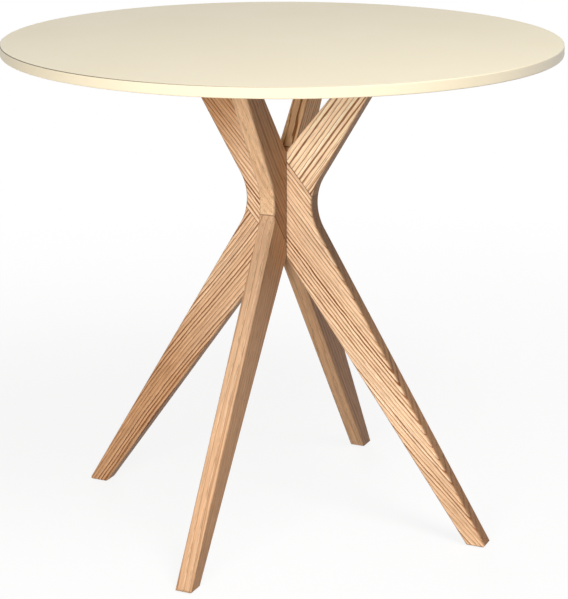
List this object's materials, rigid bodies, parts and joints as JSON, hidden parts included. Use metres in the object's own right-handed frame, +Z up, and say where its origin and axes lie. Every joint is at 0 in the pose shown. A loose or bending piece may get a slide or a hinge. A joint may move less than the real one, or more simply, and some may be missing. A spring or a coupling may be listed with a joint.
{
  "type": "round dining table",
  "caption": "Round dining table with a thin lacquered top on crossed wooden X frames with splayed legs.",
  "frame": {"origin": "on the floor, under the centre of the round top", "axes": "+Z up; frame A of the base lies along X, frame B along Y, and -Y is called the front"},
  "size_m": [0.7999, 0.8, 0.725],
  "materials": {
    "cream_lacquer": "satin lacquer over fibreboard, cream",
    "ash": "clear matt oil on straight-grained ash",
    "beech_dowel": "raw",
    "black_steel": "fine powder coat, black",
    "screw_steel": "zinc plated",
    "insert_brass": "plain turned",
    "glide_nylon": "moulded"
  },
  "bodies": {
    "root": {"tabletop": "cream_lacquer", "mounting_cross": "black_steel", "top_inserts": "insert_brass", "arm_inserts": "insert_brass", "top_screws": "screw_steel", "arm_screws": "screw_steel", "frame_a_through_board": "ash", "frame_a_short_arm": "ash", "frame_a_short_leg": "ash", "frame_b_through_board": "ash", "frame_b_short_arm": "ash", "frame_b_short_leg": "ash", "frame_a_arm_dowels": "beech_dowel", "frame_a_leg_dowels": "beech_dowel", "frame_b_arm_dowels": "beech_dowel", "frame_b_leg_dowels": "beech_dowel", "glide_left": "glide_nylon", "glide_right": "glide_nylon", "glide_front": "glide_nylon", "glide_back": "glide_nylon"}
  },
  "joints": []
}
